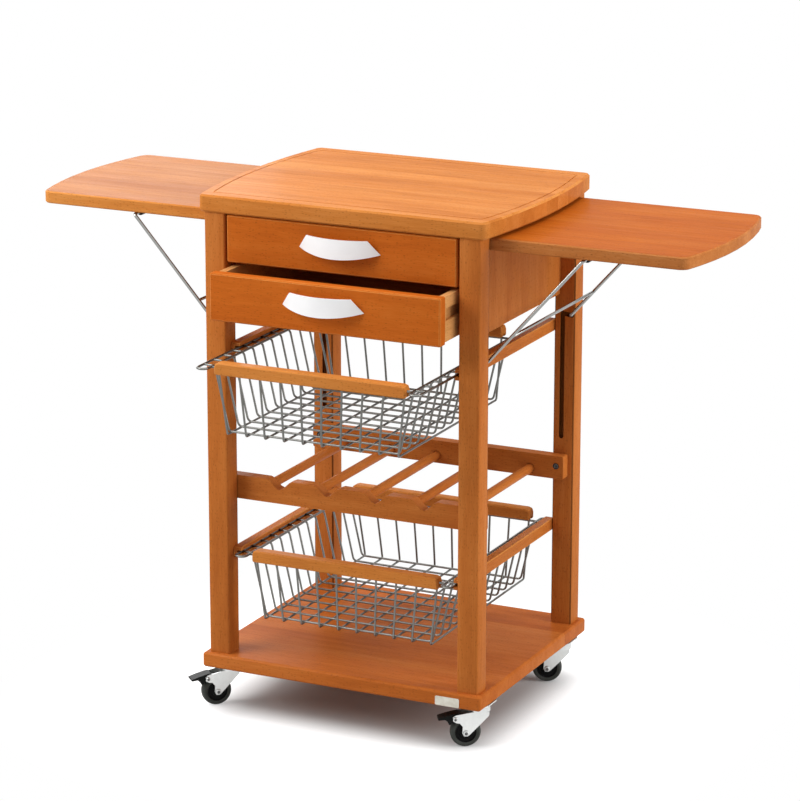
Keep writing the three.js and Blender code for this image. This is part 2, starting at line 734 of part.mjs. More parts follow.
// ---------------------------------------------------------------- casters
// The fork in its own frame: swivel axis on z, the wheel towards +x.
function forkBody(braked) {
  const outline = [
    [-forkHalfLength, forkCrownZ + forkCrown],
    [-forkHalfLength, forkCrownZ - 3, 2],
    [casterTrail - axleBoss + 1, wheelRadius - 4, 2.8],
    [casterTrail, wheelRadius - axleBoss - 1, 3],
    [casterTrail + axleBoss, wheelRadius - 3, 3],
    [casterTrail + axleBoss - 1, brakePivot.z - 8, 5],
  ];
  if (braked) {
    outline.push(
      [brakePivot.s + 1, brakePivot.z - 6, 3],
      [brakePivot.s + 6, brakePivot.z, 4],
      [brakePivot.s + 2, brakePivot.z + 6, 3],
    );
  } else {
    outline.push([casterTrail + 8, forkCrownZ - 6, 4]);
  }
  outline.push([forkHalfLength, forkCrownZ + forkCrown, 2]);
  const cheeks = [-1, 1].map((s) => {
    const y = [s * forkInner, s * (forkInner + forkPlate)].sort((a, b) => a - b);
    return extrude(polygon(outline), "y", y[0], y[1], 0, 1);
  });
  const wide = forkInner + forkPlate;
  const crownShape = roundedRect(-forkHalfLength, forkHalfLength, -wide, wide, 3);
  const crown = extrude(crownShape, "z", forkCrownZ, forkCrownZ + forkCrown, 0, 1);
  const race = rod("z", forkCrownZ + forkCrown - 0.5, raceTopZ, 0, 0, raceRadius, 16);
  const pinHole = bore("z", forkCrownZ - 1, raceTopZ + 1, 0, 0, kingpinRadius, 8);
  const axle = rod("y", -wide - 1.5, wide + 1.5, casterTrail, wheelRadius, axleRadius, 10);
  const heads = [-1, 1].map((s) => {
    const y = [s * wide, s * (wide + 2)].sort((a, b) => a - b);
    return rod("y", y[0], y[1], casterTrail, wheelRadius, axleRadius + 1.4, 10);
  });
  const parts = [...cheeks, crown, race, axle, ...heads];
  if (braked)
    parts.push(rod("y", -wide - 1, wide + 1, brakePivot.s, brakePivot.z, brakePinRadius, 8));
  return cut(join(...parts), pinHole);
}

function casterPlateBody() {
  const h = platePad / 2;
  const top = baseBottomZ;
  const pad = extrude(roundedRect(-h, h, -h, h, 5), "z", top - plateThickness, top, 0, 1);
  const dome = rod("z", raceTopZ + clearance, top - plateThickness + 0.5, 0, 0, raceRadius - 3, 12);
  const kingpin = rod("z", forkCrownZ - 2, top - 1, 0, 0, kingpinRadius, 8);
  const rivet = rod("z", forkCrownZ - 3, forkCrownZ - clearance, 0, 0, kingpinRadius + 2.5, 8);
  return join(pad, dome, kingpin, rivet);
}

// A wheel about the y axis, at the origin: tyre with a rounded tread and a dished hub.
function wheelBody() {
  const w = wheelWidth / 2;
  const bore = axleRadius + clearance;
  const face = [
    [bore, w], [hubCoreRadius, w], [hubCoreRadius + 2, w - hubDish], [hubRimRadius, w - 0.5],
    [tyreInnerRadius, w - 0.5], [wheelRadius, w - 4],
  ];
  const near = face.map(([r, y]) => [r, -y]);
  const profile = [...near, ...face.reverse(), near[0]].map(([r, y]) => new THREE.Vector2(r, y));
  return solid(new THREE.LatheGeometry(profile, 20));
}

function brakeLeverBody() {
  const { s, z } = brakePivot;
  const half = forkInner - clearance;
  const outline = polygon([
    [s - 10, z + 5.5, 2], [s - 7, z + 9, 2], [s + 8, z + 6.5, 6], [s + 28, z + 0.5, 1.2],
    [s + 27, z - 2.2, 1.2], [s + 14, z - 1, 3], [s + 9, z - 11.5, 1.5], [s + 4, z - 5.5, 2],
    [s - 1, z - 3.5, 1], [s - 3.5, z - 1.5, 1],
  ]);
  const body = extrude(outline, "y", -half, half, 0, 1);
  const hole = bore("y", -half - 1, half + 1, s, z, brakePinRadius, 8);
  return cut(body, hole);
}

for (const [end, sy] of ends)
  for (const [side, sx] of sides) {
    const caster = new THREE.Group();
    island.add(caster);
    caster.position.set(sx * casterPivotX, sy * casterPivotY, 0);
    const where = `${end}_${side}`;
    place(`caster_plate_${where}`, casterPlateBody(), zinc(), caster);
    const swivel = new THREE.Group();
    caster.add(swivel);
    swivel.rotation.z = THREE.MathUtils.degToRad(casterHeading[where]);
    const braked = end === "front";
    place(`caster_fork_${where}`, forkBody(braked), zinc(), swivel);
    const wheel = place(`caster_wheel_${where}`, wheelBody(), rubber(), swivel);
    wheel.position.set(casterTrail, 0, wheelRadius);
    if (braked) place(`brake_lever_${where}`, brakeLeverBody(), black(), swivel);
  }

// The frame's origin lies on the floor under the middle of the part's box.
const box = new THREE.Box3().setFromObject(island);
island.position.y = -(box.min.y + box.max.y) / 2;

export default island;
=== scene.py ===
"""Looks of the drop leaf kitchen island.

Rounded boards, round wires, turned wheels, materials, studio light and the photograph's camera.
Shapes are given in the drawing's millimetres; materials, lamps and camera in metres.
"""

import json
import math

import bmesh
import bpy
from mathutils import Matrix, Vector

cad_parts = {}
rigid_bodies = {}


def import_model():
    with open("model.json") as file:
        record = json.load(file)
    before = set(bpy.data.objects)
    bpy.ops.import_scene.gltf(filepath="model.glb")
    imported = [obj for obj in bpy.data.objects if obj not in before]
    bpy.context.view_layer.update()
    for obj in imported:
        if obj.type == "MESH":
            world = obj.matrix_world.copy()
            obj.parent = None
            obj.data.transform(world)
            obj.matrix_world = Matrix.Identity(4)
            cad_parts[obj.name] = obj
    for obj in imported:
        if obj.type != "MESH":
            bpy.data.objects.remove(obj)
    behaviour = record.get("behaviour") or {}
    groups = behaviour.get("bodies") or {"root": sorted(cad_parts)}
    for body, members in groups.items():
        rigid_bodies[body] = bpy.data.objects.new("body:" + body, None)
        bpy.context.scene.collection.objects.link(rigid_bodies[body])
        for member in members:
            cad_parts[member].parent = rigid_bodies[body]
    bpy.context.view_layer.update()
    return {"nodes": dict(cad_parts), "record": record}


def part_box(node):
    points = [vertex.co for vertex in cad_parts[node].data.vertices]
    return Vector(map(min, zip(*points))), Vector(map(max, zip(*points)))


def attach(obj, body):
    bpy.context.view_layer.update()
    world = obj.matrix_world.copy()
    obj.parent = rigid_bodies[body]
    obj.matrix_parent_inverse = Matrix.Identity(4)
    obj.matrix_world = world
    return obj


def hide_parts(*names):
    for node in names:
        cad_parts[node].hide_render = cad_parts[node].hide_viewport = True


for old in list(bpy.data.objects):
    bpy.data.objects.remove(old)
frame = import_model()

MM = 0.001
BODY_OF = {
    node: body
    for body, nodes in frame["record"]["behaviour"]["bodies"].items()
    for node in nodes
}
SIDES = (("left", -1), ("right", 1))
ENDS = (("front", -1), ("rear", 1))
LEVELS = ("upper", "lower")


def limits(node):
    """A node's box at rest, in the frame's millimetres: lowest corner, highest corner."""
    return tuple(Vector(corner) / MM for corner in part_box(node))


# The base board is centred in the drawing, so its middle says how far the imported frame
# lies behind the drawing.
SHIFT_Y = sum(corner.y for corner in limits("base_board")) / 2


# ---------------------------------------------------------------- node helpers
MIX_FACTOR, MIX_A, MIX_B, MIX_RESULT = 0, 6, 7, 2  # sockets of a Mix node set to colour


class Tree:
    """A short way to write a material's nodes. A value is a constant, a node or a socket."""

    def __init__(self, name):
        self.material = bpy.data.materials.new(name)
        self.material.use_nodes = True
        self.nodes = self.material.node_tree.nodes
        self.links = self.material.node_tree.links
        self.nodes.clear()
        self.out = self.nodes.new("ShaderNodeOutputMaterial")

    def add(self, kind, inputs=None, **settings):
        node = self.nodes.new("ShaderNode" + kind)
        for key, value in settings.items():
            setattr(node, key, value)
        for key, value in (inputs or {}).items():
            self.plug(node, key, value)
        return node

    def plug(self, node, key, value):
        """Links a value's output to the node's input, or sets a constant on it."""
        socket = node.inputs[key]
        if isinstance(value, bpy.types.Node):
            value = value.outputs[MIX_RESULT if value.bl_idname == "ShaderNodeMix" else 0]
        if isinstance(value, bpy.types.NodeSocket):
            self.links.new(value, socket)
        else:
            socket.default_value = value

    def place(self):
        return self.add("TexCoord").outputs["Object"]

    def math(self, operation, *values, clamp=False):
        return self.add("Math", dict(enumerate(values)), operation=operation, use_clamp=clamp)

    def vector(self, operation, *values):
        return self.add("VectorMath", dict(enumerate(values)), operation=operation)

    def noise(self, vector, scale=1.0, detail=2.0, rough=0.5):
        return self.add(
            "TexNoise", {"Vector": vector, "Scale": scale, "Detail": detail, "Roughness": rough}
        )

    def ramp(self, value, stops):
        node = self.add("ValToRGB", {"Fac": value})
        points = node.color_ramp.elements
        while len(points) < len(stops):
            points.new(0.5)
        for point, (at, colour) in zip(points, stops):
            point.position = at
            point.color = (*colour, 1)
        return node

    def span(self, value, low, high, to_low=0.0, to_high=1.0, interpolation="LINEAR"):
        """The value's range from low to high, stretched to the range from to_low to to_high."""
        inputs = {
            "Value": value, "From Min": low, "From Max": high, "To Min": to_low, "To Max": to_high,
        }
        return self.add("MapRange", inputs, interpolation_type=interpolation)

    def mix(self, factor, a, b, blend="MIX"):
        a, b = ((*v, 1) if isinstance(v, tuple) else v for v in (a, b))
        return self.add(
            "Mix", {MIX_FACTOR: factor, MIX_A: a, MIX_B: b}, data_type="RGBA", blend_type=blend
        )

    def bump(self, height, distance):
        return self.add("Bump", {"Height": height, "Distance": distance, "Strength": 1.0})

    def surface(self, **sockets):
        """Ends the tree in a principled shader. Underscores stand for a socket name's spaces."""
        inputs = {key.replace("_", " "): value for key, value in sockets.items()}
        self.links.new(self.add("BsdfPrincipled", inputs).outputs[0], self.out.inputs[0])
        return self.material


# ---------------------------------------------------------------- wood
# How far into the wood's pattern each piece lies from the one before it, along the grain,
# across it and in glued strips; and how far a strip may lie from its neighbours.
PIECE_ALONG, PIECE_ACROSS, PIECE_STRIPS = 0.731, 0.217, 17.0
STRIP_ALONG, STRIP_ACROSS = 3.7, 1.9
STAVE = 0.046  # width of the boards' glued strips
FLECK_DARKNESS = 0.33  # of the wood's darkest tone


def wood(name, grain, dark, middle, light, stave=0.0, gloss=0.4, tone=1.0):
    """Stained and lacquered beech.

    grain is the axis that the fibres follow, stave the width of its glued strips if it has any,
    gloss its roughness and tone the share of its brightness that is kept.
    """
    t = Tree(name)
    info = t.add("ObjectInfo").outputs["Object Index"]
    split = t.add("SeparateXYZ", {0: t.place()})
    axes = {"x": (0, 1, 2), "y": (1, 0, 2), "z": (2, 0, 1)}[grain]
    along, across, deep = (split.outputs[i] for i in axes)
    along = t.math("MULTIPLY_ADD", info, PIECE_ALONG, along)
    across_own = t.math("MULTIPLY_ADD", info, PIECE_ACROSS, across)
    if stave:
        strip = t.math("FLOOR", t.math("DIVIDE", across, stave))
        number = t.math("MULTIPLY_ADD", info, PIECE_STRIPS, strip)
        chance = t.add("TexWhiteNoise", {"W": number}, noise_dimensions="1D").outputs["Value"]
        along = t.math("MULTIPLY_ADD", chance, STRIP_ALONG, along)
        across_own = t.math("MULTIPLY_ADD", chance, STRIP_ACROSS, across_own)
    own = t.add("CombineXYZ", {0: along, 1: across_own, 2: deep})

    def drawn_out(place, u, v):
        """Coordinates scaled by u along the fibres and by v across them."""
        return t.vector("MULTIPLY", place, (u, v, v))

    # The fibres wander by about a centimetre to either side.
    wander = t.noise(drawn_out(own, 2.2, 9.0), detail=1.0).outputs["Color"]
    sway = t.vector("SUBTRACT", wander, (0.5, 0.5, 0.5))
    bent = t.vector("MULTIPLY_ADD", sway, (0.0, 0.02, 0.02), own)

    broad = t.noise(drawn_out(bent, 2.4, 20.0), detail=3.0, rough=0.55)
    rings = t.noise(drawn_out(bent, 7.0, 110.0), detail=3.0, rough=0.6)
    fibres = t.noise(drawn_out(bent, 40.0, 800.0), detail=2.0, rough=0.6)
    value = t.math("MULTIPLY_ADD", rings, 0.26, t.math("MULTIPLY", broad, 0.66))
    value = t.math("MULTIPLY_ADD", fibres, 0.40, value)
    if stave:
        value = t.math("MULTIPLY_ADD", chance, 0.12, t.math("SUBTRACT", value, 0.06))
    colour = t.ramp(value, ((0.40, dark), (0.66, middle), (0.92, light)))

    def flecks(u, v, low, high, share):
        """Short dark ray flecks: long cells, a share of them with a spot."""
        cells = t.add(
            "TexVoronoi", {"Vector": drawn_out(bent, u, v), "Scale": 1.0, "Randomness": 1.0},
            feature="F1",
        )
        spot = t.span(cells.outputs["Distance"], low, high, 1.0, 0.0)
        chosen = t.add("SeparateColor", {0: cells.outputs["Color"]})
        return t.math("MULTIPLY", spot, t.math("LESS_THAN", chosen, share))

    small = flecks(170.0, 430.0, 0.08, 0.40, 0.42)
    large = flecks(85.0, 300.0, 0.05, 0.20, 0.16)
    spots = t.math("MULTIPLY_ADD", large, 0.60, t.math("MULTIPLY", small, 0.42), clamp=True)
    stained = t.mix(spots, colour, tuple(c * FLECK_DARKNESS for c in dark))

    # Random patches, times the kind's tone; the low tone of the legs' grooves is painted shade.
    patch = t.noise(drawn_out(own, 7.0, 7.0), detail=2.0)
    wear = t.span(patch, 0.35, 0.75, 0.96 * tone, 1.05 * tone)
    grey = t.add("CombineColor", {0: wear, 1: wear, 2: wear})
    height = t.math("MULTIPLY_ADD", spots, -0.6, t.math("MULTIPLY", fibres, 0.5))
    return t.surface(
        Base_Color=t.mix(1.0, stained, grey, "MULTIPLY"),
        Roughness=t.span(rings, 0.3, 0.7, gloss + 0.07, gloss - 0.05),
        Specular_IOR_Level=0.010,
        Coat_Weight=0.045,
        Coat_Roughness=0.14,
        Coat_IOR=1.5,
        Normal=t.bump(height, 0.00012),
    )


# Dark, middle and light tone of each wood.
HONEY = ((0.420, 0.121, 0.019), (0.540, 0.181, 0.034), (0.630, 0.243, 0.060))
DEEP = ((0.385, 0.078, 0.007), (0.505, 0.118, 0.010), (0.590, 0.165, 0.020))
# Its blue and green are raised to stand in for the lacquer's sheen: painted sheen.
STAIN = ((0.372, 0.096, 0.017), (0.492, 0.147, 0.028), (0.590, 0.205, 0.048))
# The left leaf's tone, paler and yellower: partly the wood's own tone, partly painted sheen.
LIGHT = ((0.370, 0.106, 0.018), (0.485, 0.160, 0.028), (0.580, 0.222, 0.050))
FRONT = ((0.400, 0.081, 0.009), (0.525, 0.122, 0.013), (0.610, 0.170, 0.025))
SIDE = ((0.340, 0.098, 0.022), (0.450, 0.152, 0.038), (0.560, 0.225, 0.072))
# Its blue and green are raised to stand in for the lacquer's sheen: painted sheen.
SHELF = ((0.385, 0.090, 0.015), (0.505, 0.134, 0.023), (0.590, 0.188, 0.040))
# Its blue and green are raised to stand in for the lacquer's sheen: painted sheen.
WARM = ((0.440, 0.132, 0.022), (0.565, 0.194, 0.038), (0.645, 0.252, 0.058))
# Paler tone for rounded edges and the worktop's groove: a painted highlight.
PAINTED_HIGHLIGHT = ((0.500, 0.150, 0.024), (0.620, 0.230, 0.050), (0.700, 0.310, 0.090))
BIRCH = ((0.500, 0.215, 0.060), (0.640, 0.310, 0.105), (0.740, 0.410, 0.165))

# The kinds of stained beech: tones, width of the glued strips, share of brightness.
BEECHES = {
    "top": (HONEY, STAVE, 1.0),
    "light": (LIGHT, STAVE, 0.88),
    "panel": (DEEP, STAVE, 0.86),
    "front": (FRONT, 0.0, 1.0),
    "side": (SIDE, 0.0, 1.0),
    "shelf": (SHELF, STAVE, 1.0),
    "solid": (STAIN, 0.0, 1.0),
    "bar": (WARM, 0.0, 1.0),
    # Rounded edges and the worktop's groove take the paler tone: a painted highlight.
    "edge": (PAINTED_HIGHLIGHT, 0.0, 1.0),
    # A third of the brightness, for the legs' grooves: painted shade.
    "groove_shade": (STAIN, 0.0, 0.34),
}
beeches_made = {}


def beech(kind, grain):
    """One kind of beech along one axis, made when it is first asked for."""
    if (kind, grain) not in beeches_made:
        colours, stave, tone = BEECHES[kind]
        name = f"beech_{kind}_{grain}"
        beeches_made[kind, grain] = wood(name, grain, *colours, stave=stave, tone=tone)
    return beeches_made[kind, grain]


DRAWER_WOOD = {grain: wood(f"drawer_wood_{grain}", grain, *BIRCH, gloss=0.5) for grain in "xy"}


# ---------------------------------------------------------------- metals, rubber, plastic
PATCH_SCALE = 23.0


def metal(
    name, colour, rough,
    scale=(400.0, 400.0, 400.0), grain=0.06, bump=0.00002, spread=0.06, metallic=1.0,
):
    """Metal with fine marks; spread is how much its tone varies, grain its roughness."""
    t = Tree(name)
    place = t.place()
    fine = t.noise(t.vector("MULTIPLY", place, scale), detail=3.0, rough=0.6)
    patch = t.noise(t.vector("MULTIPLY", place, (PATCH_SCALE,) * 3), detail=3.0)
    mixed = t.math("MULTIPLY_ADD", patch, 0.5, t.math("MULTIPLY", fine, 0.5))
    darker = tuple(c * (1 - spread) for c in colour)
    lighter = tuple(min(1, c * (1 + spread)) for c in colour)
    return t.surface(
        Base_Color=t.ramp(mixed, ((0.3, darker), (0.7, lighter))),
        Metallic=metallic,
        Roughness=t.span(mixed, 0.3, 0.7, rough - grain, rough + grain),
        Normal=t.bump(fine, bump),
    )


ALUMINIUM = metal(
    "satin_aluminium", (0.90, 0.90, 0.905), 0.34,
    scale=(60.0, 1800.0, 1800.0), bump=0.00001, spread=0.03, metallic=0.2,
)
CHROME = metal("bright_chrome", (0.345, 0.345, 0.330), 0.22, grain=0.05, spread=0.04)
WIRE = metal("grey_plated_wire", (0.190, 0.190, 0.178), 0.34, grain=0.08, spread=0.10)
ZINC = metal(
    "bright_zinc", (0.60, 0.615, 0.605), 0.33, scale=(160.0, 160.0, 160.0), grain=0.09, spread=0.09
)
DARK_STEEL = metal("blackened_steel", (0.10, 0.10, 0.10), 0.35)

DUST_TONE = 0.16


def moulded(name, colour, rough, dust):
    """Rubber or moulded plastic, with some dust where it wears."""
    t = Tree(name)
    place = t.place()
    skin = t.noise(place, scale=2600.0, detail=2.0)
    wear = t.noise(place, scale=55.0, detail=4.0, rough=0.65)
    dusty = tuple(c + (DUST_TONE - c) * dust for c in colour)
    return t.surface(
        Base_Color=t.ramp(wear, ((0.38, colour), (0.75, dusty))),
        Roughness=t.span(wear, 0.3, 0.7, rough - 0.06, rough + 0.10),
        Specular_IOR_Level=0.06,
        Normal=t.bump(skin, 0.00003),
    )


TYRE = moulded("grey_tyre", (0.055, 0.060, 0.053), 0.50, dust=0.25)
HUB = moulded("black_hub", (0.005, 0.005, 0.005), 0.34, dust=0.04)
BLACK = moulded("black_moulding", (0.008, 0.009, 0.008), 0.32, dust=0.06)


def foil():
    """Pale brushed foil."""
    t = Tree("bare_plate")
    place = t.place()
    brush = t.noise(t.vector("MULTIPLY", place, (90.0, 3000.0, 3000.0)), detail=3.0)
    age = t.noise(place, scale=120.0, detail=3.0)
    return t.surface(
        Base_Color=t.ramp(age, ((0.3, (0.56, 0.53, 0.44)), (0.7, (0.70, 0.68, 0.60)))),
        Metallic=0.35,
        Roughness=t.span(brush, 0.3, 0.7, 0.30, 0.46),
        Normal=t.bump(brush, 0.00001),
    )


# ---------------------------------------------------------------- mesh helpers
JOIN_WITHIN = 5e-6  # metres
FLAT_WITHIN = math.radians(0.4)
ROUND_OVER = math.radians(28)  # edges sharper than this are rounded
seeds = iter(range(1, 400))  # one number for each piece, from which its wood gets its pattern


def new_object(name, data):
    thing = bpy.data.objects.new(name, data)
    bpy.context.scene.collection.objects.link(thing)
    return thing


def as_mesh(bm, name, outward=False):
    """The shape as a mesh; outward turns all its faces out first."""
    if outward:
        bmesh.ops.recalc_face_normals(bm, faces=bm.faces)
    mesh = bpy.data.meshes.new(name)
    bm.to_mesh(mesh)
    bm.free()
    return mesh


def vertex(bm, x, y, z):
    """A new vertex at a point of the drawing."""
    return bm.verts.new(Vector((x, y + SHIFT_Y, z)) * MM)


def finish_piece(name, mesh, body, materials, replaced=()):
    piece = new_object(name, mesh)
    piece.pass_index = next(seeds)
    mesh.materials.clear()
    for material in materials:
        mesh.materials.append(material)
    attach(piece, body)
    if replaced:
        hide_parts(*replaced)
    return piece


def smooth(mesh, angle=35):
    """Smooth shading, but for edges sharper than the angle in degrees."""
    mesh.polygons.foreach_set("use_smooth", [True] * len(mesh.polygons))
    mesh.set_sharp_from_angle(angle=math.radians(angle))


def cleaned(node):
    """A node's mesh as a new one, with its vertices joined and its flat faces whole."""
    bm = bmesh.new()
    bm.from_mesh(frame["nodes"][node].data)
    bmesh.ops.remove_doubles(bm, verts=bm.verts, dist=JOIN_WITHIN)
    bmesh.ops.dissolve_limit(bm, angle_limit=FLAT_WITHIN, verts=bm.verts, edges=bm.edges)
    mesh = as_mesh(bm, node)
    if mesh.has_custom_normals:
        mesh.attributes.remove(mesh.attributes["custom_normal"])
    return mesh


def corner_cutter(corner, radius, z_low, z_high, ease):
    """A prism that takes a board's upright corner down to an arc.

    corner is (x, y) and the directions of the two edges that leave it. The prism widens at
    its ends, so that it carries the easing of the board's edges round the arc.
    """
    at, toward_a, toward_b = (Vector(v) for v in corner)
    a, b = toward_a.normalized(), toward_b.normalized()
    half_angle = a.angle(b) / 2
    inward = (a + b).normalized()
    centre = at + inward * (radius / math.sin(half_angle))
    reach = radius / math.tan(half_angle)
    start, end = at + a * reach - centre, at + b * reach - centre
    turn = math.atan2(start.x * end.y - start.y * end.x, start.dot(end))
    over, steps = 3.0, 16
    levels = (
        (z_low - over, ease + over), (z_low + ease, 0),
        (z_high - ease, 0), (z_high + over, ease + over),
    )
    bm = bmesh.new()
    rings = []
    for z, inset in levels:
        scale = (radius - inset) / radius
        points = []
        for k in range(steps + 1):
            angle = turn * k / steps
            cos, sin = math.cos(angle) * scale, math.sin(angle) * scale
            arm = Vector((start.x * cos - start.y * sin, start.x * sin + start.y * cos))
            points.append(centre + arm)
        first, last = points[0], points[-1]
        first_out, last_out = ((p - centre).normalized() * (over + inset) for p in (first, last))
        points += [last + last_out, at - inward * 4 * over, first + first_out]
        rings.append([vertex(bm, p.x, p.y, z) for p in points])
    for low_ring, high_ring in zip(rings, rings[1:]):
        for k, corner_vertex in enumerate(low_ring):
            on = (k + 1) % len(low_ring)
            bm.faces.new((corner_vertex, low_ring[on], high_ring[on], high_ring[k]))
    bm.faces.new(list(reversed(rings[0])))
    bm.faces.new(rings[-1])
    return as_mesh(bm, "corner_cutter", outward=True)


def bowed_corners(half_length, half_depth, bulge, radius, z_low, z_high, ease, ways=(-1, 1)):
    """Cutters for the corners where a board's straight edges meet its bowed ends."""
    step = 0.25  # of the half depth: the bow's first straight stretch
    rise = bulge * (1 - (1 - step) ** 2)
    return [
        corner_cutter(
            ((sx * half_length, sy * half_depth), (-sx, 0), (sx * rise, -sy * step * half_depth)),
            radius, z_low, z_high, ease,
        )
        for sx in ways for _, sy in ENDS
    ]


def without(mesh, cutters):
    """The mesh less each cutter."""
    board = new_object("uncut", mesh)
    tools = [new_object("cutter", cutter) for cutter in cutters]
    for tool in tools:
        cut = board.modifiers.new("corner", "BOOLEAN")
        cut.operation, cut.solver, cut.object = "DIFFERENCE", "EXACT", tool
    graph = bpy.context.evaluated_depsgraph_get()
    solid = bpy.data.meshes.new_from_object(board.evaluated_get(graph))
    for spare in (board, *tools):
        bpy.data.objects.remove(spare)
    return solid


def rounded(node, name, radius, materials, edge=None, segments=3, cutters=()):
    """The node's own shape with rounded edges. edge is the material of the rounded edges."""
    mesh = cleaned(node)
    if cutters:
        mesh = without(mesh, cutters)
    smooth(mesh)
    piece = finish_piece(name, mesh, BODY_OF[node], materials, (node,))
    bevel = piece.modifiers.new("rounding", "BEVEL")
    bevel.width = radius * MM
    bevel.segments = segments
    bevel.limit_method = "ANGLE"
    bevel.angle_limit = ROUND_OVER
    bevel.harden_normals = True
    if edge:
        mesh.materials.append(edge)
        bevel.material = len(materials)
    return piece


def paint_where(piece, index, test):
    """Gives the material at index to the faces whose centre, in the drawing, passes the test."""
    for polygon in piece.data.polygons:
        c = polygon.center
        if test(c.x / MM, c.y / MM - SHIFT_Y, c.z / MM):
            polygon.material_index = index


def rod(start, end):
    """A straight line with a point in its middle, the least that sweep takes."""
    return [start, tuple((a + b) / 2 for a, b in zip(start, end)), end]


def bend(corners, radius, steps=6):
    """A polyline with each inner corner turned on a curve."""
    points = [Vector(c) for c in corners]
    line = [points[0]]
    for before, here, after in zip(points, points[1:], points[2:]):
        a = here + (before - here).normalized() * radius
        b = here + (after - here).normalized() * radius
        for k in range(steps + 1):
            s = k / steps
            line.append(a * (1 - s) ** 2 + here * 2 * s * (1 - s) + b * s * s)
    line.append(points[-1])
    return line


# A rod's domed end: (distance from its tip, radius), as shares of the rod's radius.
DOME = ((0.02, 0.72), (0.30, 1))


def sweep(bm, line, radius, sides, closed):
    """A round tube along the line; its ends are domed, or meet if it is closed."""
    count = len(line)
    frames = []
    normal = None
    for i, p in enumerate(line):
        back = p - line[i - 1] if (i or closed) else line[1] - p
        on = line[(i + 1) % count] - p if (i < count - 1 or closed) else p - line[i - 1]
        tangent = (back.normalized() + on.normalized()).normalized()
        if normal is None:
            helper = Vector((0, 0, 1)) if abs(tangent.z) < 0.9 else Vector((1, 0, 0))
            normal = tangent.cross(helper).normalized()
        normal = (normal - tangent * normal.dot(tangent)).normalized()
        frames.append((p, normal, tangent.cross(normal), tangent))

    def ring(p, normal, side, r):
        out = []
        for k in range(sides):
            a = 2 * math.pi * (k + 0.5) / sides
            out.append(bm.verts.new(p + normal * (math.cos(a) * r) + side * (math.sin(a) * r)))
        return out

    if closed:
        loops = [ring(p, n, s, radius) for p, n, s, _ in frames]
        pairs = list(zip(loops, loops[1:] + loops[:1]))
    else:
        p, n, s, t = frames[0]
        loops = [ring(p + t * radius * inset, n, s, radius * share) for inset, share in DOME]
        loops += [ring(p, n, s, radius) for p, n, s, _ in frames[1:-1]]
        p, n, s, t = frames[-1]
        loops += [ring(p - t * radius * inset, n, s, radius * share) for inset, share in DOME[::-1]]
        pairs = list(zip(loops, loops[1:]))
    for a, b in pairs:
        for k in range(sides):
            bm.faces.new((a[k], a[(k + 1) % sides], b[(k + 1) % sides], b[k]))
    if not closed:
        bm.faces.new(list(reversed(loops[0])))
        bm.faces.new(loops[-1])


def tubes(name, body, material, runs, replaced=(), sides=12):
    """One piece of round rods: runs are (line in the drawing, radius, closed)."""
    bm = bmesh.new()
    for line, radius, closed in runs:
        points = [Vector((p[0], p[1] + SHIFT_Y, p[2])) * MM for p in line]
        sweep(bm, points, radius * MM, sides, closed)
    mesh = as_mesh(bm, name, outward=True)
    piece = finish_piece(name, mesh, body, [material], replaced)
    smooth(mesh, 50)
    return piece


# ---------------------------------------------------------------- boards, legs and case
TOP = {
    "half_length": 248.5, "half_depth": 213, "bulge": 18, "radius": 12,
    "z_low": 839, "z_high": 867, "ease": 3,
}
LEAF = {
    "half_length": 561, "half_depth": 169, "bulge": 22, "radius": 17,
    "z_low": 815, "z_high": 835, "ease": 2,
}
TOP_GROOVE_Z = (865.5, 866.4)  # the floor of the worktop's groove, painted pale: a painted highlight
TOP_GROOVE_HALF_Y = 195
LEG_INNER_Y, GROOVE_DEPTH, GROOVE_Z = 172.0, 7.0, (420.0, 642.0)
SKIN = 0.2  # how far a face's centre must be past a plane to count as beyond it


def board(node, name, radius, kind, grain):
    """A board of one kind of beech, with paler beech on its rounded edges: a painted highlight."""
    return rounded(
        node, name, radius, [beech(kind, grain)], edge=beech("edge", grain)
    )


worktop = rounded(
    "top_board", "worktop", 1.2, [beech("top", "x"), beech("edge", "x")],
    cutters=bowed_corners(**TOP),
)
# The groove's floor takes the paler edge beech: a painted highlight along the groove.
paint_where(
    worktop, 1, lambda x, y, z: TOP_GROOVE_Z[0] < z < TOP_GROOVE_Z[1] and abs(y) < TOP_GROOVE_HALF_Y
)
rounded("base_board", "base_shelf", 1.2, [beech("shelf", "x")])

for end, _ in ENDS:
    for side, _ in SIDES:
        leg = rounded(
            f"leg_{end}_{side}", f"leg_{end}_{side}_wood", 1.6,
            [beech("solid", "z"), beech("groove_shade", "z")], edge=beech("edge", "z"),
        )
        # The grooves take the darkened beech: painted shade in the recess.
        paint_where(
            leg, 1,
            lambda x, y, z: GROOVE_Z[0] < z < GROOVE_Z[1]
            and LEG_INNER_Y + SKIN < abs(y) < LEG_INNER_Y + GROOVE_DEPTH + SKIN,
        )
for side, _ in SIDES:
    board(f"side_panel_{side}", f"case_side_{side}", 0.7, "solid", "z")
board("back_panel", "case_back", 0.7, "solid", "x")

# Each leaf's kinds of beech for its faces and its upright edges; between them in the list of
# materials comes the plastic of the stay's clips below it. The left leaf's paler faces paint
# part of its sheen, and its upright edges take the paler edge tone: painted light.
for (side, way), face_kind, edge_kind in zip(SIDES, ("light", "panel"), ("edge", "side")):
    leaf = rounded(
        f"leaf_{side}", f"folding_leaf_{side}", 1.0,
        [beech(face_kind, "x"), BLACK, beech(edge_kind, "x")],
        cutters=bowed_corners(**LEAF, ways=(way,)),
    )
    paint_where(leaf, 1, lambda x, y, z: z < LEAF["z_low"] - SKIN)
    paint_where(leaf, 2, lambda x, y, z: LEAF["z_low"] + SKIN < z < LEAF["z_high"] - SKIN)

